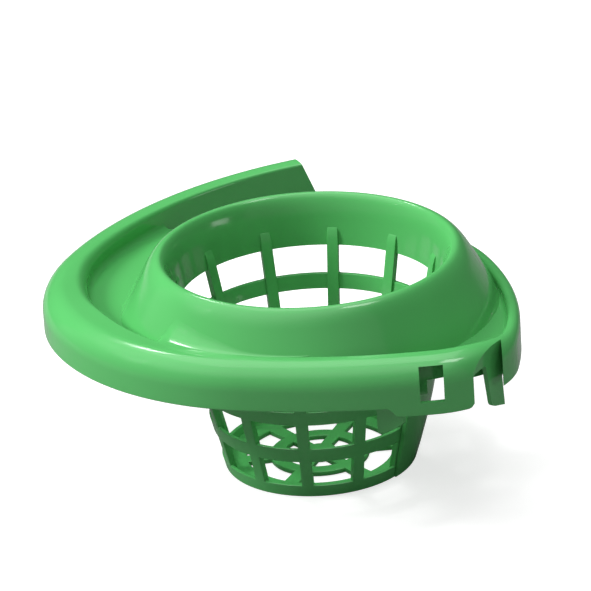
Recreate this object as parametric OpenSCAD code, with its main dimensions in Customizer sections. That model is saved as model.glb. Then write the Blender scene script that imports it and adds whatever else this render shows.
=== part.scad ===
// Wringer insert for an oval mop bucket: a conical strainer basket hangs from
// a rolled lip, and a sloping collar joins the lip to a spiral channel rim
// that caps the wall of the bucket. Millimetres, +Z up, origin at the centre
// of the basket's underside, free arm of the rim towards +Y.

/* [Basket] */
// inner radius of the basket at the underside
base_r = 50.7; // [40:0.1:70]
// growth of the inner radius for each millimetre of height
flare = 0.228; // [0.1:0.001:0.4]
// wall thickness of the basket
wall_t = 2.4; // [1.5:0.1:4]
// height of the solid band at the bottom
band_h = 7.3; // [4:0.1:15]
// height of the two lower rows of windows
window_h = 16.0; // [10:0.5:24]
// height of each hoop between the rows of windows
hoop_h = 8.7; // [5:0.1:15]
// height of the underside of the solid funnel wall
funnel_z = 97.4; // [85:0.1:110]
// width of each upright bar
bar_w = 6.5; // [3:0.5:10]
// how far each bar stands proud of the inner wall
bar_proud = 1.5; // [0.5:0.1:3]
// how far the closed side panel stands proud at the foot of the basket
panel_foot = 1.2; // [0.5:0.1:3]
// how far it stands proud a third of the way up
panel_mid = 3.5; // [1:0.5:6]
// how far it stands proud at the top
panel_top = 2.0; // [1:0.5:6]
// height at which the proud part of each bar starts
bar_top = 106.5; // [98:0.5:112]

/* [Base grille] */
// radius of the solid centre boss
boss_r = 10; // [5:0.5:15]
// thickness of the grille
grille_t = 3.0; // [2:0.5:5]
// height of the underside of the grille
grille_z = 0; // [0:0.5:4]
// radius of the middle of the grille's hoop
grille_hoop_r = 24.0; // [20:0.5:40]
// width of the grille's hoop
grille_hoop_w = 8.0; // [4:0.5:12]
// width of each spoke
spoke_w = 7.0; // [2:0.5:10]
// inner radius of the solid border of the floor
border_r = 41; // [38:0.5:48]

/* [Rolled lip and collar] */
// radius to the crown of the lip
lip_r = 83.3; // [75:0.1:95]
// outer radius of the roll
roll_r = 6.4; // [4:0.1:10]
// height of the roll's centre
lip_z = 119.8; // [110:0.1:130]
// outer radius of the collar at its foot
collar_r = 105; // [95:0.5:115]
// height of the foot of the collar
foot_z = 93; // [85:0.5:100]
// thickness of the collar
collar_t = 2.4; // [1.5:0.1:4]

/* [Channel rim] */
// height of the crown of the rim
rim_top = 105; // [98:0.5:112]
// height of the lower edge of the rim's skirt
rim_low = 80; // [70:0.5:90]
// outer rounding of the rim
rim_round = 14; // [8:0.5:18]
// width of the channel
rim_w = 21; // [15:0.5:28]
// thickness of the rim's wall
rim_t = 2.6; // [1.5:0.1:4]
// rounding of the channel's inner top edge
inner_round = 3.5; // [1:0.5:5]
// width of the upstand that closes the spiral on the right
upstand_w = 6.0; // [4:0.5:10]
// height of the upstand
upstand_top = 101; // [96:0.5:106]
// outer radius of the ledge behind the basket
ledge_r = 107.5; // [105:0.5:115]
// thickness of the gutter floor
gutter_t = 2.4; // [1.5:0.1:4]

/* [Latch flange and hook] */
// depth of the flange below the skirt
flange_drop = 5; // [3:0.5:12]
// width of the latch window
window_w = 13; // [8:0.5:20]
// height of the latch window
latch_h = 19; // [12:0.5:24]
// height of the lower edge of the latch window
latch_z = 82.5; // [80:0.5:88]
// width of the slot beside the hook
slot_w = 8.5; // [5:0.5:12]
// width of the hook
hook_w = 8.0; // [6:0.5:14]
// height of the hook's lower end
hook_low = 64; // [60:0.5:78]

/* [Hidden] */
$fn = 144;
green = [0.29, 0.64, 0.33];
e = 0.01;
z_b1 = band_h + window_h;
z_b2 = z_b1 + hoop_h;
z_c1 = z_b2 + window_h;
z_c2 = z_c1 + hoop_h;
z_d1 = z_c2 + window_h;
z_d2 = z_d1 + hoop_h;
lip_in = lip_r - roll_r;
lip_out = lip_r + roll_r;
// radii and end angles of the arcs of the spiral, free end last
r_ledge = ledge_r;
r_right = 220;
r_corner = 50;
r_front = 340;
r_fleft = 144.3;
r_left = 119.4;
r_arm = 234.8;
t_right = 18.8;
t_corner = -10.9;
t_front = -86.5;
t_fleft = -104.4;
t_left = -162.8;
t_arm = -203.2;
t_end = -249.4;
t_gutter = -223;
t_wrap = 34;
t_back = 118;
function step(c, ra, rb, t) = [c[0] + (ra - rb) * cos(t), c[1] + (ra - rb) * sin(t)];
c_ledge = [0, 0];
c_right = step(c_ledge, r_ledge, r_right, t_right);
c_corner = step(c_right, r_right, r_corner, t_corner);
c_front = step(c_corner, r_corner, r_front, t_front);
c_fleft = step(c_front, r_front, r_fleft, t_fleft);
c_left = step(c_fleft, r_fleft, r_left, t_left);
c_arm = step(c_left, r_left, r_arm, t_arm);
// turns of the upright bars from +Y towards +X
bar_turns = [12, 41, 71, 100, 128.5, 158.5, 188.5, 218.5, 250, 281.5, 312, 342];
spoke_turn = 24;
function basket_r(z) = base_r + flare * z;

// frustum that follows the basket's wall, at an offset from its inner face
module follow(z0, z1, off) {
  translate([0, 0, z0])
    cylinder(h = z1 - z0, r1 = basket_r(z0) + off, r2 = basket_r(z1) + off);
}

module hoop(z0, z1) {
  difference() {
    follow(z0, z1, wall_t);
    translate([0, 0, z0 - 1])
      cylinder(h = z1 - z0 + 2, r1 = basket_r(z0 - 1), r2 = basket_r(z1 + 1));
  }
}

module hoop_upper() {
  color(green) hoop(z_d1, z_d2);
}

module hoop_middle() {
  color(green) hoop(z_c1, z_c2);
}

module hoop_lower() {
  color(green) hoop(z_b1, z_b2);
}

module base_band() {
  color(green) hoop(0, band_h);
}

// solid that fills the funnel from below the windows to the lip
module funnel_fill(off) {
  h = lip_z - funnel_z;
  translate([0, 0, funnel_z])
    cylinder(h = h, r1 = basket_r(funnel_z) + off, r2 = lip_in + off);
}

module funnel_wall() {
  color(green) difference() {
    funnel_fill(wall_t);
    slope = (lip_in - basket_r(funnel_z)) / (lip_z - funnel_z);
    translate([0, 0, funnel_z - 1])
      cylinder(h = lip_z - funnel_z + 2, r1 = basket_r(funnel_z) - slope, r2 = lip_in + slope);
  }
}

module rolled_lip() {
  color(green) rotate_extrude($fn = 180)
    translate([lip_r, lip_z])
      difference() {
        circle(r = roll_r, $fn = 64);
        circle(r = roll_r - wall_t, $fn = 64);
        translate([-roll_r - 1, -roll_r - 1]) square([2 * roll_r + 2, roll_r + 1]);
      }
}

// solid cone of the collar, grown by off and run past both of its ends
module collar_fill(off, ext) {
  slope = (collar_r - lip_out) / (lip_z - foot_z);
  translate([0, 0, foot_z - ext])
    cylinder(h = lip_z - foot_z + 2 * ext,
      r1 = collar_r + off + slope * ext, r2 = lip_out + off - slope * ext);
}

module collar() {
  color(green) difference() {
    collar_fill(0, 0);
    collar_fill(-collar_t, 1);
  }
}

// one upright bar: full depth across the windows, a proud strip elsewhere
module bar(k) {
  turn = bar_turns[k];
  color(green) difference() {
    intersection() {
      union() {
        follow(band_h, funnel_z, wall_t);
        follow(funnel_z - e, bar_top, 0.3);
      }
      rotate([0, 0, -turn]) translate([-bar_w / 2, 0, 0]) cube([bar_w, 120, 130]);
    }
    translate([0, 0, band_h - 1])
      cylinder(h = bar_top - band_h + 2, r1 = basket_r(band_h - 1) - bar_proud,
        r2 = basket_r(bar_top + 1) - bar_proud - 0.6);
    hoop(z_b1, z_b2);
    hoop(z_c1, z_c2);
    hoop(z_d1, z_d2);
    funnel_wall();
  }
}

module bar_01() { bar(0); }
module bar_02() { bar(1); }
module bar_03() { bar(2); }
module bar_04() { bar(3); }
module bar_05() { bar(4); }
module bar_06() { bar(5); }
module bar_07() { bar(6); }
module bar_08() { bar(7); }
module bar_09() { bar(8); }
module bar_10() { bar(9); }
module bar_11() { bar(10); }
module bar_12() { bar(11); }

// closes the windows on the hook's side, from outside
module side_panel() {
  top = foot_z - gutter_t - 3;
  color(green) rotate([0, 0, -41])
    rotate_extrude(angle = 33, $fn = 240)
      polygon([[basket_r(0) + wall_t, 0], [basket_r(0) + wall_t + panel_foot, 0],
        [basket_r(40) + wall_t + panel_mid, 40], [basket_r(top) + wall_t + panel_top, top],
        [basket_r(top) + wall_t, top]]);
}

module grille_boss() {
  color(green) translate([0, 0, grille_z]) cylinder(h = grille_t, r = boss_r);
}

module grille_hoop() {
  color(green) translate([0, 0, grille_z]) difference() {
    cylinder(h = grille_t, r = grille_hoop_r + grille_hoop_w / 2);
    translate([0, 0, -1]) cylinder(h = grille_t + 2, r = grille_hoop_r - grille_hoop_w / 2);
  }
}

module grille_spokes() {
  color(green) difference() {
    for (k = [0 : 5])
      rotate([0, 0, -spoke_turn - 60 * k])
        translate([-spoke_w / 2, 0, grille_z]) cube([spoke_w, 60, grille_t]);
    translate([0, 0, -1]) cylinder(h = 10, r = boss_r);
    difference() {
      translate([0, 0, -1]) cylinder(h = 10, r = grille_hoop_r + grille_hoop_w / 2);
      translate([0, 0, -2]) cylinder(h = 12, r = grille_hoop_r - grille_hoop_w / 2);
    }
    difference() {
      translate([0, 0, -1]) cylinder(h = 10, r = 80);
      translate([0, 0, -2]) cylinder(h = 12, r = border_r);
    }
  }
}

module grille_border() {
  color(green) difference() {
    translate([0, 0, grille_z])
      cylinder(h = grille_t, r1 = basket_r(grille_z), r2 = basket_r(grille_z + grille_t));
    translate([0, 0, -1]) cylinder(h = 12, r = border_r);
  }
}

// cross-section of the channel: outer wall at r, crown at rim_top, width w
module channel_outline(r, w, low, grow) {
  ro = rim_round - grow;
  ri = inner_round;
  difference() {
    translate([r - w + grow, low]) square([w - 2 * grow, rim_top - grow - low]);
    translate([r - rim_round, rim_top - rim_round]) difference() {
      square([rim_round + 1, rim_round + 1]);
      circle(r = ro, $fn = 96);
    }
    translate([r - w + ri, rim_top - ri]) difference() {
      translate([-ri - 1, 0]) square([ri + 1, ri + 1]);
      circle(r = max(ri - grow, 0.9), $fn = 48);
    }
  }
}

module channel(c, r, t0, t1, w) {
  translate([c[0], c[1], 0])
    rotate([0, 0, t1])
      rotate_extrude(angle = t0 - t1, $fn = 240)
        difference() {
          channel_outline(r, w, rim_low, 0);
          translate([0, -2]) channel_outline(r, w, rim_low - 2, rim_t);
        }
}

// the collar and all that lies inside it, with a clearance for the joint face
module inside_collar() {
  collar_fill(0, 0);
  translate([0, 0, rim_low - 1]) cylinder(h = foot_z - rim_low + 1, r = collar_r);
}

module rim_arm() {
  color(green) channel(c_arm, r_arm, t_arm, t_end, rim_w);
}

module rim_left() {
  color(green) channel(c_left, r_left, t_left, t_arm, rim_w);
}

module rim_front_left() {
  color(green) difference() {
    channel(c_fleft, r_fleft, t_fleft, t_left, rim_w);
    inside_collar();
  }
}

module rim_front() {
  color(green) difference() {
    channel(c_front, r_front, t_front, t_fleft, rim_w);
    inside_collar();
    latch_window();
  }
}

module rim_corner() {
  color(green) difference() {
    channel(c_corner, r_corner, t_corner, t_front, rim_w);
    inside_collar();
    latch_window();
    hook_notch();
  }
}

// section of the upstand with a rounded crown that ends the spiral on the right
module upstand_outline(r) {
  rr = 3;
  difference() {
    translate([r - upstand_w, rim_low]) square([upstand_w, upstand_top - rim_low]);
    translate([r - rr, upstand_top - rr]) difference() {
      square([rr + 1, rr + 1]);
      circle(r = rr, $fn = 48);
    }
    translate([r - upstand_w - 1, rim_low - 1])
      square([upstand_w + 1 - rim_t, foot_z - gutter_t + 1 - rim_low]);
  }
}

module rim_right() {
  color(green) translate([c_right[0], c_right[1], 0])
    rotate([0, 0, t_corner])
      rotate_extrude(angle = t_right - t_corner, $fn = 240) upstand_outline(r_right);
}

module rim_back() {
  color(green) rotate([0, 0, t_right])
    rotate_extrude(angle = t_wrap - t_right, $fn = 240) upstand_outline(ledge_r);
}

module back_ledge() {
  color(green) difference() {
    rotate([0, 0, t_right])
      rotate_extrude(angle = t_back - t_right, $fn = 240)
        translate([90, foot_z - gutter_t]) square([ledge_r - 90, gutter_t]);
    rotate([0, 0, t_right - 1])
      rotate_extrude(angle = t_wrap - t_right + 1, $fn = 240)
        translate([ledge_r - upstand_w, foot_z - 10]) square([10, 20]);
    translate([0, 0, foot_z - gutter_t - 1]) cylinder(h = gutter_t + 1, r = collar_r - collar_t);
    collar_fill(0, 0);
  }
}

// closes the free end of the arm, inside the channel
module arm_end_wall() {
  color(green) translate([c_arm[0], c_arm[1], 0])
    rotate([0, 0, t_end])
      rotate_extrude(angle = 0.6, $fn = 240)
        channel_outline(r_arm, rim_w, rim_low, rim_t);
}

// closes the channel where the upstand takes over
module corner_end_wall() {
  color(green) difference() {
    translate([c_corner[0], c_corner[1], 0])
      rotate([0, 0, t_corner])
        rotate_extrude(angle = -2.6, $fn = 240)
          channel_outline(r_corner, rim_w, rim_low, rim_t);
    inside_collar();
  }
}

// sector of a flat ring at gutter height about the centre c
module floor_sector(c, r0, r1, t0, t1) {
  translate([c[0], c[1], foot_z - gutter_t])
    rotate([0, 0, t1])
      rotate_extrude(angle = t0 - t1, $fn = 240)
        translate([r0, 0]) square([r1 - r0, gutter_t]);
}

// round space inside the gutter floor
module gutter_core() {
  translate([0, 0, foot_z - 20]) rotate([0, 0, 45]) cylinder(h = 40, r = collar_r);
}

module gutter_front_left() {
  color(green) difference() {
    floor_sector(c_fleft, 60, r_fleft - rim_w, -125, t_left);
    gutter_core();
  }
}

module gutter_left() {
  color(green) difference() {
    floor_sector(c_left, 5, r_left - rim_w, t_left, t_arm);
    gutter_core();
  }
}

module gutter_arm() {
  color(green) difference() {
    floor_sector(c_arm, 100, r_arm - rim_w, t_arm, t_gutter);
    gutter_core();
  }
}

module gutter_front() {
  color(green) difference() {
    floor_sector(c_front, 200, r_front - rim_w, t_front, -90);
    gutter_core();
  }
}

module gutter_corner() {
  color(green) difference() {
    floor_sector(c_corner, 1, r_corner - rim_w, t_corner, t_front);
    gutter_core();
  }
}

module gutter_right() {
  color(green) difference() {
    floor_sector(c_right, 180, r_right - upstand_w, t_right, t_corner);
    gutter_core();
  }
}

// centre of the latch window across the front
window_x = 61;

// opening through the outer wall, and the lower way through the inner wall
module latch_window() {
  translate([window_x - window_w / 2, -140, latch_z]) cube([window_w, 34, latch_h]);
  translate([window_x - 2, -112, rim_low - 2]) cube([12, 30, 10.5]);
}

slot_x = 83.5;
slot_top = 94;
hook_x = slot_x + slot_w;
hook_end = hook_x + hook_w;
hook_y = -88;
facet_y = -112.5;
function facet(x, back) = let(w = hook_end - slot_x, d = hook_y - facet_y, l = sqrt(w * w + d * d))
  [x - back * d / l, facet_y + (x - slot_x) * d / w + back * w / l];

// wedge cut away in front of the hook, and the slot through the inner wall
module hook_notch() {
  translate([0, 0, rim_low - 20]) linear_extrude(height = 60)
    polygon([[slot_x, -140], facet(slot_x, 0), facet(hook_end, 0), [hook_end, -140]]);
  translate([slot_x, -112, rim_low - 2]) cube([slot_w, 50, 6]);
  translate([slot_x, -125, rim_low - 2]) cube([slot_w, 27, slot_top + 2 - rim_low]);
}

// flange that hangs below the skirt under the latch window
module flange_front() {
  color(green) translate([c_front[0], c_front[1], rim_low - flange_drop])
    rotate([0, 0, -90.2])
      rotate_extrude(angle = t_front + 90.2, $fn = 240)
        translate([r_front - rim_t, 0]) square([rim_t, flange_drop]);
}

module flange_corner() {
  color(green) translate([c_corner[0], c_corner[1], rim_low - flange_drop])
    rotate([0, 0, t_front])
      rotate_extrude(angle = -62 - t_front, $fn = 240)
        translate([r_corner - rim_t, 0]) square([rim_t, flange_drop]);
}

// slanting web that hangs behind the end of the flange
module latch_web() {
  color(green) intersection() {
    translate([45.5, -116.6, 0]) rotate([0, 0, 137.6]) rotate([90, 0, 0])
      linear_extrude(height = 2.4)
        polygon([[-4, 71], [1, 69], [7, 64.5], [13, 61], [20, 59], [30, 58], [30, 88], [-4, 88]]);
    translate([c_front[0], c_front[1], 0])
      rotate([0, 0, t_fleft])
        rotate_extrude(angle = t_front - t_fleft, $fn = 240)
          translate([r_front - rim_w + rim_t, 50]) square([rim_w - 2 * rim_t, 40]);
  }
}

// slanting strip behind the notch's flat face
module facet_strip(x0, x1, z0, z1) {
  t = 2.6;
  translate([0, 0, z0]) linear_extrude(height = z1 - z0)
    polygon([facet(x0, 0), facet(x1, 0), facet(x1, t), facet(x0, t)]);
}

// wall behind the notch, carried down as the hook
module hook_finger() {
  color(green) union() {
    intersection() {
      union() {
        facet_strip(slot_x, hook_end, slot_top, slot_top + 12);
        facet_strip(hook_x, hook_end, rim_low, slot_top);
      }
      hook_space();
    }
    facet_strip(hook_x, hook_end, hook_low, rim_low);
  }
}

// hollow of the corner channel, where the hook's root may stand
module hook_space() {
  translate([c_corner[0], c_corner[1], 0])
    rotate([0, 0, t_front])
      rotate_extrude(angle = t_corner - 2.6 - t_front, $fn = 240)
        channel_outline(r_corner, rim_w, rim_low, rim_t);
}

rolled_lip();
funnel_wall();
collar();
hoop_upper();
hoop_middle();
hoop_lower();
base_band();
side_panel();
grille_boss();
grille_hoop();
grille_spokes();
grille_border();
bar_01();
bar_02();
bar_03();
bar_04();
bar_05();
bar_06();
bar_07();
bar_08();
bar_09();
bar_10();
bar_11();
bar_12();
rim_arm();
rim_left();
rim_front_left();
rim_front();
rim_corner();
rim_right();
rim_back();
back_ledge();
arm_end_wall();
corner_end_wall();
gutter_front_left();
gutter_left();
gutter_arm();
gutter_front();
gutter_corner();
gutter_right();
flange_front();
flange_corner();
latch_web();
hook_finger();
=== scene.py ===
import math
import bpy
import bmesh
import numpy as np
from mathutils import Matrix, Vector


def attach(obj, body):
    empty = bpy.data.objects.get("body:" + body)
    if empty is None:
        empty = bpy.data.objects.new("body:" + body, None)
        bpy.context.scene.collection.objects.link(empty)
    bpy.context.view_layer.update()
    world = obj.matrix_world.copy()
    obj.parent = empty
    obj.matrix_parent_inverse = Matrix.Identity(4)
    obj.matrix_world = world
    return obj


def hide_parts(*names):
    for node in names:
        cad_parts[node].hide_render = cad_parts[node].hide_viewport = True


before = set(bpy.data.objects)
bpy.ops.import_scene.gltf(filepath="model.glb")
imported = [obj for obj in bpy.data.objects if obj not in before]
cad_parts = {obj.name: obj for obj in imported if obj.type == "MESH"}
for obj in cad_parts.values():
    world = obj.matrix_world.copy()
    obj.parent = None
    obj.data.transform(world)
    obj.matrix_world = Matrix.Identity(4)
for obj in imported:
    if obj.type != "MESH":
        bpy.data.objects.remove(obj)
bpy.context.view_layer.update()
MM = 0.001

# ---------------------------------------------------------------- camera
CAM_ELEVATION = math.radians(23.277)
CAM_ROLL = math.radians(-3.786)
CAM_DISTANCE = 2.547018
CAM_LENS = 276.3618  # mm, on a sensor CAM_SENSOR wide
CAM_SENSOR = 36
CAM_SIDE = -0.013822
CAM_RISE = 0.089584


def make_camera():
    forward = Vector((0, math.cos(CAM_ELEVATION), -math.sin(CAM_ELEVATION)))
    level = Vector((1, 0, 0))
    upright = level.cross(forward)
    right = math.cos(CAM_ROLL) * level + math.sin(CAM_ROLL) * upright
    up = -math.sin(CAM_ROLL) * level + math.cos(CAM_ROLL) * upright
    data = bpy.data.cameras.new("camera")
    data.lens = CAM_LENS
    data.sensor_width = CAM_SENSOR
    data.clip_end = 20
    cam = bpy.data.objects.new("camera", data)
    bpy.context.scene.collection.objects.link(cam)
    place = -forward * CAM_DISTANCE + right * CAM_SIDE + up * CAM_RISE
    back = -forward
    cam.matrix_world = Matrix(((right.x, up.x, back.x, place.x),
                               (right.y, up.y, back.y, place.y),
                               (right.z, up.z, back.z, place.z),
                               (0, 0, 0, 1)))
    bpy.context.scene.camera = cam


make_camera()

# ---------------------------------------------------------------- sizes, mm
BASE_R, FLARE, WALL = 50.7, 0.228, 2.4
BAND_H, FUNNEL_Z = 7.3, 97.4
HOOPS = ((23.3, 32.0), (48.0, 56.7), (72.7, 81.4))
BARS, BAR_W, BAR_PROUD = 12, 6.5, 1.5
BAR_TURNS = (12, 41, 71, 100, 128.5, 158.5, 188.5, 218.5, 250, 281.5, 312, 342)
SPOKE_TURN = 24.0
LIP_R, ROLL_R, LIP_Z = 83.3, 6.4, 119.8
FOOT_R, FOOT_Z = 105.0, 93.0
LIP_IN, LIP_OUT = LIP_R - ROLL_R, LIP_R + ROLL_R
COLLAR_SLOPE = (FOOT_R - LIP_OUT) / (LIP_Z - FOOT_Z)
RIM_TOP, RIM_LOW = 105.0, 80.0
FLANGE_DROP = 5.0
GRILLE_T, SPOKES, BOSS_R = 3.0, 6, 10.0
GRILLE_HOOP = (20.0, 28.0)
BORDER_R = 41.0
PANEL_FROM, PANEL_TO = -41, -8


def basket_r(z):
    return BASE_R + FLARE * z


def funnel_r(z):
    """Inner radius, in the basket and in the solid funnel above it."""
    if z <= FUNNEL_Z:
        return basket_r(z)
    r0 = basket_r(FUNNEL_Z)
    return r0 + (LIP_IN - r0) * (z - FUNNEL_Z) / (LIP_Z - FUNNEL_Z)


# ---------------------------------------------------------------- helpers
def link(name, mesh):
    obj = bpy.data.objects.new(name, mesh)
    bpy.context.scene.collection.objects.link(obj)
    return obj


def mesh_piece(name, verts, faces):
    mesh = bpy.data.meshes.new(name)
    mesh.from_pydata([tuple(MM * c for c in v) for v in verts], [], faces)
    mesh.validate()
    bm = bmesh.new()
    bm.from_mesh(mesh)
    bmesh.ops.remove_doubles(bm, verts=bm.verts, dist=2e-6)
    bmesh.ops.recalc_face_normals(bm, faces=bm.faces)
    bm.to_mesh(mesh)
    bm.free()
    return link(name, mesh)


def apply_modifiers(obj):
    bpy.context.view_layer.update()
    deps = bpy.context.evaluated_depsgraph_get()
    mesh = bpy.data.meshes.new_from_object(obj.evaluated_get(deps))
    obj.modifiers.clear()
    old = obj.data
    obj.data = mesh
    bpy.data.meshes.remove(old)


def bevel(obj, width, segments=2, angle=32):
    mod = obj.modifiers.new("bevel", "BEVEL")
    mod.width = width * MM
    mod.segments = segments
    mod.limit_method = "ANGLE"
    mod.angle_limit = math.radians(angle)
    mod.use_clamp_overlap = True
    apply_modifiers(obj)


def smooth(obj, angle=40):
    mesh = obj.data
    for poly in mesh.polygons:
        poly.use_smooth = True
    bm = bmesh.new()
    bm.from_mesh(mesh)
    limit = math.radians(angle)
    for edge in bm.edges:
        if len(edge.link_faces) == 2:
            edge.smooth = edge.calc_face_angle(0) < limit
        else:
            edge.smooth = False
    bm.to_mesh(mesh)
    bm.free()
    mod = obj.modifiers.new("normals", "WEIGHTED_NORMAL")
    mod.keep_sharp = True
    mod.weight = 80
    apply_modifiers(obj)


def combine(obj, operation, others):
    """Boolean with each of the others, which are used up."""
    for other in others:
        mod = obj.modifiers.new("boolean", "BOOLEAN")
        mod.operation = operation
        mod.solver = "EXACT"
        mod.object = other
    apply_modifiers(obj)
    for other in others:
        bpy.data.objects.remove(other)


def side_faces(n):
    """Quads that join two rings of n points."""
    return [(k, (k + 1) % n, n + (k + 1) % n, n + k) for k in range(n)]


def slab(name, verts):
    """Closed slab between two rings of points, one listed after the other."""
    n = len(verts) // 2
    caps = [tuple(range(n)), tuple(reversed(range(n, 2 * n)))]
    return mesh_piece(name, verts, caps + side_faces(n))


def prism(name, outline, z0, z1):
    n = len(outline)
    verts = [(x, y, z0) for x, y in outline] + [(x, y, z1) for x, y in outline]
    faces = [tuple(reversed(range(n))), tuple(range(n, 2 * n))]
    return mesh_piece(name, verts, faces + side_faces(n))


def revolve(name, profile, n=224, start=0.0, end=360.0):
    """Turns a closed profile of (r, z) points about the basket's axis."""
    whole = abs(end - start) >= 359.99
    rows = n if whole else n + 1
    verts, faces, m = [], [], len(profile)
    for i in range(rows):
        t = math.radians(start + (end - start) * i / n)
        verts += [(r * math.cos(t), r * math.sin(t), z) for r, z in profile]
    for i in range(n):
        j = (i + 1) % rows
        for k in range(m):
            l = (k + 1) % m
            faces.append((i * m + k, j * m + k, j * m + l, i * m + l))
    if not whole:
        faces.append(tuple(range(m)))
        faces.append(tuple(reversed(range((rows - 1) * m, rows * m))))
    return mesh_piece(name, verts, faces)


# ---------------------------------------------------------------- material
def plastic(name, base, scuff):
    mat = bpy.data.materials.new(name)
    mat.use_nodes = True
    nodes, links = mat.node_tree.nodes, mat.node_tree.links
    bsdf = nodes["Principled BSDF"]
    coord = nodes.new("ShaderNodeTexCoord")
    # faint streaks of pigment
    flow = nodes.new("ShaderNodeTexNoise")
    flow.inputs["Scale"].default_value = 9
    flow.inputs["Detail"].default_value = 3
    links.new(coord.outputs["Object"], flow.inputs["Vector"])
    ramp = nodes.new("ShaderNodeValToRGB")
    ramp.color_ramp.elements[0].position = 0.3
    ramp.color_ramp.elements[1].position = 0.7
    ramp.color_ramp.elements[0].color = (base[0] * 0.93, base[1] * 0.95, base[2] * 0.93, 1)
    ramp.color_ramp.elements[1].color = (base[0] * 1.06, base[1] * 1.04, base[2] * 1.06, 1)
    links.new(flow.outputs["Fac"], ramp.inputs["Fac"])
    links.new(ramp.outputs["Color"], bsdf.inputs["Base Color"])
    # handling scuffs in the gloss
    rub = nodes.new("ShaderNodeTexNoise")
    rub.inputs["Scale"].default_value = 60
    rub.inputs["Detail"].default_value = 6
    links.new(coord.outputs["Object"], rub.inputs["Vector"])
    gloss = nodes.new("ShaderNodeMapRange")
    gloss.inputs["From Min"].default_value = 0.35
    gloss.inputs["From Max"].default_value = 0.75
    gloss.inputs["To Min"].default_value = scuff[0]
    gloss.inputs["To Max"].default_value = scuff[1]
    links.new(rub.outputs["Fac"], gloss.inputs["Value"])
    links.new(gloss.outputs["Result"], bsdf.inputs["Roughness"])
    # slight sink and orange peel of the moulding
    peel = nodes.new("ShaderNodeTexNoise")
    peel.inputs["Scale"].default_value = 45
    peel.inputs["Detail"].default_value = 2
    links.new(coord.outputs["Object"], peel.inputs["Vector"])
    bump = nodes.new("ShaderNodeBump")
    bump.inputs["Strength"].default_value = 0.05
    bump.inputs["Distance"].default_value = 0.0006
    links.new(peel.outputs["Fac"], bump.inputs["Height"])
    links.new(bump.outputs["Normal"], bsdf.inputs["Normal"])
    bsdf.inputs["IOR"].default_value = 1.5
    return mat


GREEN = plastic("green_plastic", (0.088, 0.43, 0.118), (0.1, 0.18))


def place(obj, *nodes):
    obj.data.materials.clear()
    obj.data.materials.append(GREEN)
    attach(obj, "root")
    if nodes:
        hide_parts(*nodes)


# ---------------------------------------------------------------- lip, collar, funnel
def arc(cx, cz, r, t0, t1, n):
    return [(cx + r * math.cos(math.radians(t0 + (t1 - t0) * k / n)),
             cz + r * math.sin(math.radians(t0 + (t1 - t0) * k / n))) for k in range(n + 1)]


def bend(p0, p1, p2, n):
    """Smooth corner from p0 to p2 that leaves along p0-p1 and arrives along p1-p2."""
    a, b, c = (np.array(p, float) for p in (p0, p1, p2))
    return [tuple(a * (1 - t) ** 2 + b * 2 * t * (1 - t) + c * t * t)
            for t in (k / n for k in range(n + 1))]


def build_top():
    top_z = LIP_Z + ROLL_R - 0.02
    r0 = basket_r(FUNNEL_Z)
    shoulder = [(FOOT_R - (z - FOOT_Z) * COLLAR_SLOPE, z) for z in (LIP_Z - 2.5, top_z)]
    crown = (LIP_R - 1.2, top_z)
    rise = (LIP_IN - r0) / (LIP_Z - FUNNEL_Z)
    throat = [(r0 + (z - FUNNEL_Z) * rise, z) for z in (top_z, LIP_Z - 7)]
    outer = [(FOOT_R, FOOT_Z)] + bend(shoulder[0], shoulder[1], crown, 18)
    inside = bend(crown, throat[0], throat[1], 18)[1:]
    under = [(r0, FUNNEL_Z), (r0 + WALL, FUNNEL_Z), (LIP_IN + WALL, LIP_Z)]
    hollow = arc(LIP_R, LIP_Z, ROLL_R - WALL, 180, 0, 14)[1:]
    top = revolve("collar_lip_funnel", outer + inside + under + hollow
                  + [(FOOT_R - WALL - 0.3, FOOT_Z)])
    smooth(top, 38)
    place(top, "rolled_lip", "funnel_wall", "collar")


build_top()


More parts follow.
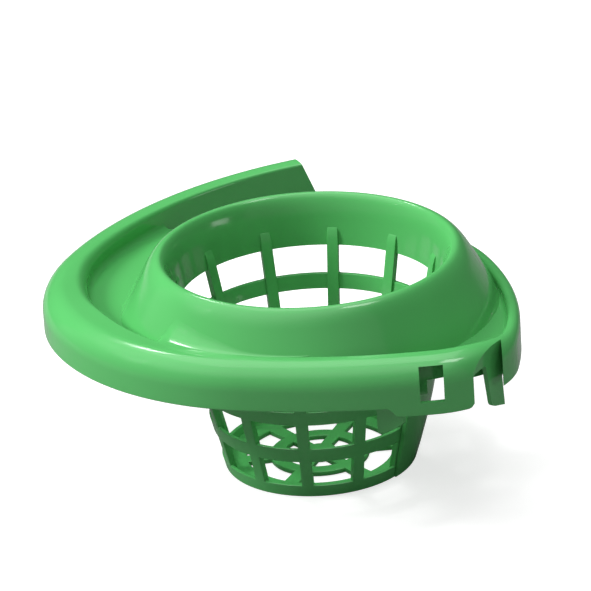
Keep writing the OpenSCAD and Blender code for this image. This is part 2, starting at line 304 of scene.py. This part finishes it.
# ---------------------------------------------------------------- basket
def build_basket():
    levels = [0, BAND_H]
    for a, b in HOOPS:
        levels += [a, b]
    levels += [FUNNEL_Z]
    open_rows = {1, 3, 5, 7}
    bar_cells, gap_cells = 3, 7
    per = bar_cells + gap_cells
    cols = per * BARS

    def turn(col, z):
        k, c = divmod(col, per)
        half = math.degrees(math.asin(BAR_W / 2 / (basket_r(z) + WALL / 2)))
        here, after = BAR_TURNS[k], BAR_TURNS[(k + 1) % BARS]
        pitch = (after - here) % 360
        if c <= bar_cells:
            a = -half + 2 * half * c / bar_cells
        else:
            a = half + (pitch - 2 * half) * (c - bar_cells) / gap_cells
        return math.radians(90 - (here + a))

    verts, index = [], {}
    for row, z in enumerate(levels):
        for col in range(cols):
            t = turn(col, z)
            for side, r in ((0, basket_r(z)), (1, basket_r(z) + WALL)):
                index[row, col, side] = len(verts)
                verts.append((r * math.cos(t), r * math.sin(t), z))

    def solid(row, col):
        if row < 0 or row >= len(levels) - 1:
            return False
        return not (row in open_rows and (col % per) >= bar_cells)

    faces = []
    for row in range(len(levels) - 1):
        for col in range(cols):
            if not solid(row, col):
                continue
            nxt = (col + 1) % cols
            ring = [(row, col), (row, nxt), (row + 1, nxt), (row + 1, col)]
            faces.append(tuple(index[r, c, 1] for r, c in ring))
            faces.append(tuple(index[r, c, 0] for r, c in reversed(ring)))
            beside = ((row - 1, col), (row, nxt), (row + 1, col), (row, (col - 1) % cols))
            for k, cell in enumerate(beside):
                if not solid(*cell):
                    a, b = ring[k], ring[(k + 1) % 4]
                    faces.append((index[a + (1,)], index[b + (1,)],
                                  index[b + (0,)], index[a + (0,)]))
    basket = mesh_piece("basket_wall", verts, faces)
    bevel(basket, 0.55, 2)
    smooth(basket, 45)
    nodes = ["base_band", "hoop_lower", "hoop_middle", "hoop_upper"]
    nodes += ["bar_%02d" % (k + 1) for k in range(BARS)]
    place(basket, *nodes)


build_basket()


def build_bar_ribs():
    """The proud inner face of each bar, which fades out on the funnel."""
    verts, faces = [], []
    levels = [(3, 0.9, 1), (8, 1, 1), (40, 1, 1), (70, 1, 1), (FUNNEL_Z, 1, 1),
              (102, 0.97, 0.95), (105.5, 0.92, 0.55), (107.5, 0.85, 0.02)]
    for k in range(BARS):
        t = math.radians(90 - BAR_TURNS[k])
        out, side = (math.cos(t), math.sin(t)), (-math.sin(t), math.cos(t))
        base = len(verts)
        for z, wide, proud in levels:
            half = BAR_W / 2 * wide
            far = funnel_r(z) + 0.5
            near = funnel_r(z) - BAR_PROUD * proud
            for r, s in ((far, -half), (near, -half), (near, half), (far, half)):
                verts.append((out[0] * r + side[0] * s, out[1] * r + side[1] * s, z))
        for i in range(len(levels) - 1):
            a, b = base + 4 * i, base + 4 * i + 4
            faces += [(a + j, a + (j + 1) % 4, b + (j + 1) % 4, b + j) for j in range(4)]
        end = base + 4 * (len(levels) - 1)
        faces += [(base + 3, base + 2, base + 1, base), (end, end + 1, end + 2, end + 3)]
    ribs = mesh_piece("bar_ribs", verts, faces)
    bevel(ribs, 0.45, 2, 50)
    smooth(ribs, 45)
    place(ribs)


build_bar_ribs()


def build_grille():
    verts, faces = [], []
    for k in range(SPOKES):
        t = math.radians(90 - SPOKE_TURN - 360 / SPOKES * k)
        out, side = (math.cos(t), math.sin(t)), (-math.sin(t), math.cos(t))
        base = len(verts)
        for r, half in ((8, 3.2), (24, 3.6), (43, 4.4)):
            for z in (0.1, GRILLE_T - 0.1):
                for s in (-half, half):
                    verts.append((out[0] * r + side[0] * s, out[1] * r + side[1] * s, z))
        for i in (0, 4):
            a = base + i
            faces += [(a, a + 1, a + 5, a + 4), (a + 2, a + 6, a + 7, a + 3),
                      (a, a + 4, a + 6, a + 2), (a + 1, a + 3, a + 7, a + 5)]
        faces += [(base, base + 2, base + 3, base + 1),
                  (base + 8, base + 9, base + 11, base + 10)]
    spokes = mesh_piece("grille_spokes_v", verts, faces)
    bevel(spokes, 0.5, 2)
    smooth(spokes, 45)
    place(spokes, "grille_spokes")
    a, b = GRILLE_HOOP
    edge0, edge1 = basket_r(0) + 0.6, basket_r(GRILLE_T) + 0.6
    rings = (("grille_hoop", [(a, 0), (b, 0), (b, GRILLE_T), (a, GRILLE_T)], 96),
             ("grille_border", [(BORDER_R, 0), (edge0, 0), (edge1, GRILLE_T),
                                (BORDER_R, GRILLE_T)], 144),
             ("grille_boss", [(0.01, 0), (BOSS_R, 0), (BOSS_R, GRILLE_T), (0.01, GRILLE_T)], 64))
    for node, profile, steps in rings:
        ring = revolve(node + "_v", profile, steps)
        bevel(ring, 0.7, 2)
        smooth(ring, 45)
        place(ring, node)


def build_panel():
    """Closes the windows on the hook's side and stands a little proud."""
    top = FOOT_Z - 5.4
    levels = [(0, 1.2), (10, 2.2), (25, 3.2), (40, 3.5), (60, 3.2), (top, 2.0)]
    outer = [(basket_r(z) + WALL + p, z) for z, p in levels]
    inner = [(basket_r(z) + WALL - 0.3, z) for z in (top, 0)]
    panel = revolve("side_panel_v", outer + inner, 40, PANEL_FROM, PANEL_TO)
    bevel(panel, 1.0, 3)
    smooth(panel, 45)
    place(panel, "side_panel")


build_panel()
build_grille()

# ---------------------------------------------------------------- spiral rim
# radii of the tangent arcs and the angles between them, from the free arm to the right
RADII = (234.8, 119.4, 144.3, 340.0, 50.0, 220.0, 107.5)
ENDS = (-249.4, -203.2, -162.8, -104.4, -86.5, -10.9, 18.8, 34.0)
LEDGE_R = 107.5


def arc_centres():
    """Centres of the spiral's arcs, from the free arm to the right."""
    centres, c, r = [], np.zeros(2), LEDGE_R
    for radius, t in zip(reversed(RADII), reversed(ENDS[1:])):
        a = math.radians(t)
        c = c + (r - radius) * np.array([math.cos(a), math.sin(a)])
        r = radius
        centres.append(c)
    return list(reversed(centres))


CENTRES = arc_centres()
STEP_MM = 1.6


def path_angles():
    out = []
    for k, radius in enumerate(RADII):
        a, b = ENDS[k], ENDS[k + 1]
        n = max(8, round(math.radians(b - a) * radius / STEP_MM))
        out += [(a + (b - a) * i / n, k) for i in range(n)]
    out.append((ENDS[-1], len(RADII) - 1))
    return out


PATH = path_angles()
ANGLES = np.array([a for a, _ in PATH])


def keyed(keys, blur=6):
    """A value along the rim from (angle, value) keys, blurred a little."""
    xs, ys = zip(*keys)
    vals = np.interp(ANGLES, xs, ys)
    if blur:
        kernel = np.exp(-0.5 * (np.arange(-3 * blur, 3 * blur + 1) / blur) ** 2)
        kernel /= kernel.sum()
        padded = np.pad(vals, 3 * blur, mode="edge")
        vals = np.convolve(padded, kernel, "valid")
    return vals


# (angle, mm): width, height and the two edge radii of the crown, and foot of the skirt
WIDTH = keyed([(-249.4, 20.5), (-222, 20.5), (-208, 20.5), (-198, 22.5), (-180, 26),
               (-163, 26.5), (-150, 25), (-135, 22), (-120, 19), (-105, 17.3), (-92, 17.5),
               (-86, 18.5), (-62, 21), (-50, 20), (-36, 15.5), (-22, 11), (-10.9, 8.5),
               (-5, 7), (34, 6)])
CROWN = keyed([(-249.4, RIM_TOP), (-45, RIM_TOP), (-22, 103), (-8, 101), (34, 100.5)])
OUTER = keyed([(-249.4, 14), (-50, 14), (-30, 9.5), (-15, 5.5), (-6, 4), (34, 3)])
INNER = keyed([(-249.4, 1.5), (-225, 2.2), (-205, 5), (-183, 7), (-165, 6), (-155, 2.5),
               (-140, 1.5), (-88, 1.5), (-73, 4), (-55, 7), (-36, 5), (-15, 3), (34, 2.5)])
SKIRT = keyed([(-249.4, RIM_LOW), (-91.0, RIM_LOW), (-90.7, RIM_LOW - 1), (-90.3, RIM_LOW - 4),
               (-90.0, RIM_LOW - FLANGE_DROP), (-66, RIM_LOW - FLANGE_DROP),
               (-64, RIM_LOW - 4.5), (-62.8, RIM_LOW - 3.4), (-62, RIM_LOW - 2),
               (-61.9, RIM_LOW), (34, RIM_LOW)], 0)
FLOOR_FILLET = 3.0


def section(i):
    """Outer face of the rim at one station, as (inset, z) points."""
    w, top, ro, ri, low = WIDTH[i], CROWN[i], OUTER[i], INNER[i], SKIRT[i]
    pts = [(0, low), (0, low + 2.5)]
    pts += [(0, low + 2.5 + (top - ro - low - 2.5) * f) for f in (0.35, 0.7)]
    pts += [(ro - ro * math.cos(t), top - ro + ro * math.sin(t))
            for t in (math.pi / 2 * k / 14 for k in range(15))]
    pts += [(ro + (w - ri - ro) * f, top) for f in (0.33, 0.66)]
    pts += [(w - ri + ri * math.sin(t), top - ri + ri * math.cos(t))
            for t in (math.pi / 2 * k / 8 for k in range(9))]
    return pts


def to_plan(i, inset, z):
    angle, k = PATH[i]
    t = math.radians(angle)
    c, r = CENTRES[k], RADII[k] - inset
    return (c[0] + r * math.cos(t), c[1] + r * math.sin(t), z)


def slanted(i, inset, z):
    """The free end leans: the foot of its inner wall reaches further."""
    x, y, z = to_plan(i, inset, z)
    lean = 0.4 * max(0.0, 1 - i / 8) * max(0.0, RIM_TOP - z) * max(0.0, inset - 12) / 8.5
    t = math.radians(PATH[i][0])
    return (x + lean * math.sin(t), y - lean * math.cos(t), z)


def reach_collar(i, radius):
    """Inset at which the station's inward line meets a circle about the axis."""
    angle, k = PATH[i]
    t = math.radians(angle)
    c = CENTRES[k]
    d = np.array([math.cos(t), math.sin(t)])
    b = float(c @ d)
    gap = b * b - (float(c @ c) - radius * radius)
    if gap < 0:
        return None
    return RADII[k] - (-b + math.sqrt(gap))


GUTTER_ARM, GUTTER_FRONT, GUTTER_AGAIN = -223.0, -128.0, -96.0
RIM_WALL = 2.5


def sheet(name, stations, line_of):
    """A wall of RIM_WALL under the surface that runs through the lines."""
    verts, faces, lines = [], [], []
    for i in stations:
        base = len(verts)
        pts = line_of(i)
        verts.extend(to_plan(i, d, z) for d, z in pts)
        lines.append(range(base, base + len(pts)))
    for a, b in zip(lines, lines[1:]):
        faces += [(a[k], a[k + 1], b[k + 1], b[k]) for k in range(len(a) - 1)]
    mesh = bpy.data.meshes.new(name)
    mesh.from_pydata([tuple(MM * c for c in v) for v in verts], [], faces)
    obj = link(name, mesh)
    bm = bmesh.new()
    bm.from_mesh(mesh)
    bmesh.ops.remove_doubles(bm, verts=bm.verts, dist=2e-6)
    bmesh.ops.recalc_face_normals(bm, faces=bm.faces)
    flat = max(bm.faces, key=lambda f: abs(f.normal.z) * f.calc_area())
    if flat.normal.z < 0:
        bmesh.ops.reverse_faces(bm, faces=bm.faces)
    bm.to_mesh(mesh)
    bm.free()
    mod = obj.modifiers.new("wall", "SOLIDIFY")
    mod.thickness = RIM_WALL * MM
    mod.offset = -1
    mod.use_even_offset = True
    apply_modifiers(obj)
    return obj


def rim_loop(i):
    """Closed section of the channel: outer face, inner foot, inner face, outer foot."""
    w, top, ro, ri, low = WIDTH[i], CROWN[i], OUTER[i], INNER[i], SKIRT[i]
    t, b = RIM_WALL, 0.8
    pts = [(0, low + b), (0, low + 3)]
    pts += [(0, low + 3 + (top - ro - low - 3) * f) for f in (0.35, 0.7)]
    pts += arc(ro, top - ro, ro, 180, 90, 16)
    pts += [(ro + (w - ri - ro) * f, top) for f in (0.33, 0.66)]
    pts += arc(w - ri, top - ri, ri, 90, 0, 9)
    pts += [(w, top - ri + (RIM_LOW + b - top + ri) * f) for f in (0.3, 0.6)]
    pts += arc(w - b, RIM_LOW + b, b, 0, -90, 3)
    pts += arc(w - t + b, RIM_LOW + b, b, -90, -180, 3)
    ro2, ri2 = max(ro - t, 0.4), max(ri - t, 0.4)
    pts += arc(w - t - ri2, top - t - ri2, ri2, 0, 90, 3)
    pts += arc(t + ro2, top - t - ro2, ro2, 90, 180, 8)
    pts += arc(t - b, low + b, b, 0, -90, 3)
    pts += arc(b, low + b, b, -90, -150, 2)
    return pts


def loop_solid(name, stations, line_of):
    """A solid whose closed section line_of(i) runs along the stations."""
    verts, faces, stations = [], [], list(stations)
    m = len(line_of(stations[0]))
    for i in stations:
        verts.extend(slanted(i, d, z) for d, z in line_of(i))
    rows = len(stations)
    for a in range(rows - 1):
        for k in range(m):
            l = (k + 1) % m
            faces.append((a * m + k, a * m + l, (a + 1) * m + l, (a + 1) * m + k))
    faces.append(tuple(range(m)))
    faces.append(tuple(reversed(range((rows - 1) * m, rows * m))))
    return mesh_piece(name, verts, faces)


def floor_line(i):
    w, f = WIDTH[i] - 0.02, FLOOR_FILLET
    pts = [(w + f - f * math.cos(t), FOOT_Z + f - f * math.sin(t))
           for t in (math.pi / 2 * k / 7 for k in range(8))]
    reach = reach_collar(i, FOOT_R - 0.6)
    far = max(w + f + 0.4, reach if reach is not None else w + 60)
    return pts + [(w + f + (far - w - f) * s, FOOT_Z) for s in (0.5, 1)]


rim = loop_solid("channel_rim", range(len(PATH)), rim_loop)

# openings of the latch side
SLOT_X, HOOK_X, HOOK_END = 83.5, 92.0, 100.0
FACET_Y0, FACET_Y1, SLOT_TOP = -112.5, -88.0, 94.0
WINDOW_X, WINDOW_W, WINDOW_Z = 61.0, 13.0, (82.5, 101.5)
OUTSIDE_Y, UNDER_Z = -140, 60


def rect(x0, x1, y0, y1):
    return [(x0, y0), (x1, y0), (x1, y1), (x0, y1)]


def open_latch_side(obj):
    notch = prism("cut_notch", [(SLOT_X, OUTSIDE_Y), (SLOT_X, FACET_Y0), (HOOK_END, FACET_Y1),
                                (HOOK_END, OUTSIDE_Y)], UNDER_Z, 120)
    window = prism("cut_window", rect(WINDOW_X - WINDOW_W / 2, WINDOW_X + WINDOW_W / 2,
                                      OUTSIDE_Y, -106), *WINDOW_Z)
    way = prism("cut_way", rect(59, 71, -112, -82), 76, 88.5)
    slot = prism("cut_slot", rect(SLOT_X, HOOK_X, -112, -62), UNDER_Z, 84)
    mouth = prism("cut_mouth", rect(SLOT_X, HOOK_X, -125, -98), UNDER_Z, SLOT_TOP)
    bevel(mouth, 1.6, 4)
    combine(obj, "DIFFERENCE", [notch, window, way, slot, mouth])


open_latch_side(rim)
smooth(rim, 35)
place(rim, "rim_arm", "rim_left", "rim_front_left", "rim_front", "rim_corner", "rim_right",
      "flange_front", "flange_corner", "corner_end_wall", "rim_back")

def gutter(name, low, high, *nodes):
    floor = sheet(name, [i for i in range(len(PATH)) if low <= ANGLES[i] <= high], floor_line)
    smooth(floor, 40)
    place(floor, *nodes)


gutter("gutter_left_v", GUTTER_ARM, GUTTER_FRONT, "gutter_front_left", "gutter_left",
       "gutter_arm")
gutter("gutter_right_v", GUTTER_AGAIN, ENDS[-1], "gutter_front", "gutter_corner",
       "gutter_right")


def build_hook():
    """Flat facet behind the notch, carried down as the hook."""
    across = np.array([HOOK_END - SLOT_X, FACET_Y1 - FACET_Y0])
    length = float(np.linalg.norm(across))
    along, back = across / length, np.array([-across[1], across[0]]) / length
    per_x = length / (HOOK_END - SLOT_X)
    root, foot = (HOOK_X - SLOT_X - 1) * per_x, (HOOK_X - SLOT_X + 1.2) * per_x
    tip = length + 1.6
    line = [(0.4, SLOT_TOP), (root - 1.5, SLOT_TOP), (root - 0.4, SLOT_TOP - 0.6),
            (root, SLOT_TOP - 2), (foot, 71), (foot + 0.8, 69), (foot + 2.2, 67.8), (foot + 4, 67),
            (tip, 64), (length, RIM_LOW + 1.5), (length + 2.5, RIM_LOW + 4),
            (length + 2.5, 104), (0.4, 104)]
    hook = slab("hook_facet", [
        (SLOT_X + along[0] * u + back[0] * v, FACET_Y0 + along[1] * u + back[1] * v, z)
        for v in (0.06, 2.6) for u, z in line])

    def outline(i):
        return [(0.1 + d * 0.995, 50 if k == 0 else z - 0.1)
                for k, (d, z) in enumerate(section(i))] + [(WIDTH[i] - 0.3, 50)]

    space = loop_solid("hook_space", [i for i in range(len(PATH)) if -72 <= ANGLES[i] <= -22],
                       outline)
    combine(hook, "INTERSECT", [space])
    smooth(hook, 40)
    place(hook, "hook_finger")


build_hook()


WEB_X, WEB_Y, WEB_TURN, WEB_T = 45.0, -115.6, 137.6, 2.2


def build_web():
    """Slanting web that hangs behind the end of the flange."""
    ang = math.radians(WEB_TURN)
    along, back = (math.cos(ang), math.sin(ang)), (math.sin(ang), -math.cos(ang))
    line = [(0, 70), (3, 67.5), (7, 64.5), (13, 61), (19, 59), (19, 84), (0, 84)]
    web = slab("latch_web_v", [
        (WEB_X + along[0] * u + back[0] * v, WEB_Y + along[1] * u + back[1] * v, z)
        for v in (0, WEB_T) for u, z in line])
    bevel(web, 0.6, 2)
    smooth(web, 45)
    place(web, "latch_web")


build_web()


BLEND_FROM, BLEND_TO, BLEND_FADE = -141, -98, 14
SINK_FROM, SINK_DEPTH, BLEND_UP = -126, 27, 9.5


def build_blend():
    """Fillet where the crown runs into the collar, sunk into the gutter at its left end."""
    reach = keyed([(-249.4, 7), (-128, 7), (-116, 5.5), (-106, 3), (-97, 1.2), (34, 1.0)])
    r_crown = FOOT_R - (RIM_TOP - FOOT_Z) * COLLAR_SLOPE

    def ramp(start, angle):
        return min(1.0, max(0.0, (start - angle) / BLEND_FADE))

    def line_of(i):
        fade, sink = ramp(BLEND_TO, ANGLES[i]), ramp(SINK_FROM, ANGLES[i])
        sink = sink * sink * (3 - 2 * sink)
        d = reach_collar(i, r_crown)
        a = max(reach[i], d - WIDTH[i] + 2.5) * fade + 0.3 * (1 - fade)
        up = min(a, BLEND_UP) * (1 - 0.6 * sink)
        low = RIM_TOP - SINK_DEPTH * sink
        top = (reach_collar(i, r_crown - COLLAR_SLOPE * up), RIM_TOP + up)
        return bend((d - a, RIM_TOP), (d, low), top, 8) + [
            (top[0] + 1.2, top[1] - 1.0), (d + 1.0, low - 1.0), (d - a, RIM_TOP - 0.8)]

    stations = [i for i in range(len(PATH)) if BLEND_FROM < ANGLES[i] < BLEND_TO]
    blend = loop_solid("collar_blend", stations, line_of)
    smooth(blend, 40)
    place(blend)


build_blend()


CAP_T, CAP_SHRINK = 2.4, 0.985
LEDGE_IN, LEDGE_FROM, LEDGE_TO = 101, 33.5, 118


def build_ends():
    face = [slanted(0, d, z) for d, z in section(0) + [(WIDTH[0], RIM_LOW)]]
    t = math.radians(PATH[0][0])
    back = (-math.sin(t) * CAP_T, math.cos(t) * CAP_T)
    verts = face + [(x + back[0], y + back[1], z) for x, y, z in face]
    cx = sum(v[0] for v in face) / len(face)
    cy = sum(v[1] for v in face) / len(face)
    cap = slab("arm_end_cap", [(cx + (x - cx) * CAP_SHRINK, cy + (y - cy) * CAP_SHRINK, z - 0.3)
                               for x, y, z in verts])
    smooth(cap, 30)
    place(cap, "arm_end_wall")
    ledge = revolve("ledge_behind", [(LEDGE_IN, FOOT_Z - CAP_T), (LEDGE_R, FOOT_Z - CAP_T),
                                     (LEDGE_R, FOOT_Z), (LEDGE_IN, FOOT_Z)],
                    90, LEDGE_FROM, LEDGE_TO)
    bevel(ledge, 0.5, 2)
    smooth(ledge, 45)
    place(ledge, "back_ledge")


build_ends()


# ---------------------------------------------------------------- studio
def build_stage():
    mesh = bpy.data.meshes.new("floor")
    size = 6.0
    mesh.from_pydata([(-size, -size, 0), (size, -size, 0), (size, size, 0), (-size, size, 0)],
                     [], [(0, 1, 2, 3)])
    floor = link("floor", mesh)
    mat = bpy.data.materials.new("floor")
    mat.use_nodes = True
    nodes, links = mat.node_tree.nodes, mat.node_tree.links
    bsdf = nodes["Principled BSDF"]
    bsdf.inputs["Base Color"].default_value = (0.5, 0.5, 0.5, 1)
    bsdf.inputs["Roughness"].default_value = 0.9
    bsdf.inputs["Emission Color"].default_value = (1, 1, 1, 1)
    bsdf.inputs["Emission Strength"].default_value = 0.72
    # the table throws back less light than the camera sees on it
    grey = nodes.new("ShaderNodeBsdfDiffuse")
    grey.inputs["Color"].default_value = (0.26, 0.26, 0.26, 1)
    path = nodes.new("ShaderNodeLightPath")
    mix = nodes.new("ShaderNodeMixShader")
    links.new(path.outputs["Is Camera Ray"], mix.inputs["Fac"])
    links.new(grey.outputs["BSDF"], mix.inputs[1])
    links.new(bsdf.outputs["BSDF"], mix.inputs[2])
    links.new(mix.outputs["Shader"], nodes["Material Output"].inputs["Surface"])
    floor.data.materials.append(mat)


build_stage()


def area_light(name, place_at, size, power, size_y=None, glossy=True):
    """Aims at CENTRE; a light that is not glossy shows in no reflection."""
    data = bpy.data.lights.new(name, "AREA")
    data.energy = power
    data.size = size
    if size_y:
        data.shape = "RECTANGLE"
        data.size_y = size_y
    obj = bpy.data.objects.new(name, data)
    bpy.context.scene.collection.objects.link(obj)
    obj.location = place_at
    obj.visible_glossy = glossy
    aim = Vector(CENTRE) - Vector(place_at)
    obj.rotation_euler = aim.to_track_quat("-Z", "Y").to_euler()


CENTRE = (0, 0, 0.1)
area_light("key", (-1.78, 0.0, 1.24), 0.6, 43, glossy=False)
area_light("glint", (-0.55, 1.2, 1.5), 0.2, 2.2, 0.12)
area_light("strip", (-0.5, 1.2, 1.5), 0.9, 5, 0.15, glossy=False)
area_light("top", (-0.2, 0.9, 2.1), 1.6, 9)
area_light("edge", (1.7, -0.5, 0.25), 0.5, 2.5)
area_light("mouth", (0.7, -0.1, 2.2), 0.5, 5)


def studio_world():
    """Bright screen to the front left and above, dark room to the right and behind."""
    world = bpy.data.worlds.new("studio")
    world.use_nodes = True
    nodes, links = world.node_tree.nodes, world.node_tree.links
    sky = nodes["Background"]
    sky.inputs["Color"].default_value = (1, 1, 1, 1)
    coord = nodes.new("ShaderNodeTexCoord")

    def lobe(direction, low, high, gain):
        dot = nodes.new("ShaderNodeVectorMath")
        dot.operation = "DOT_PRODUCT"
        dot.inputs[1].default_value = direction
        links.new(coord.outputs["Generated"], dot.inputs[0])
        span = nodes.new("ShaderNodeMapRange")
        span.interpolation_type = "SMOOTHSTEP"
        span.inputs["From Min"].default_value = low
        span.inputs["From Max"].default_value = high
        span.inputs["To Max"].default_value = gain
        links.new(dot.outputs["Value"], span.inputs["Value"])
        return span.outputs["Result"]

    def add(a, b):
        node = nodes.new("ShaderNodeMath")
        node.operation = "ADD"
        links.new(a, node.inputs[0])
        if isinstance(b, float):
            node.inputs[1].default_value = b
        else:
            links.new(b, node.inputs[1])
        return node.outputs["Value"]

    screen = lobe((-0.651, -0.759, 0.0), -0.02, 0.04, 0.24)
    ceiling = lobe((-0.25, 0.0, 0.968), 0.6, 0.95, 1.15)
    links.new(add(add(screen, ceiling), 0.06), sky.inputs["Strength"])
    bpy.context.scene.world = world


studio_world()
bpy.context.scene.view_settings.view_transform = "Standard"
bpy.context.scene.view_settings.look = "None"
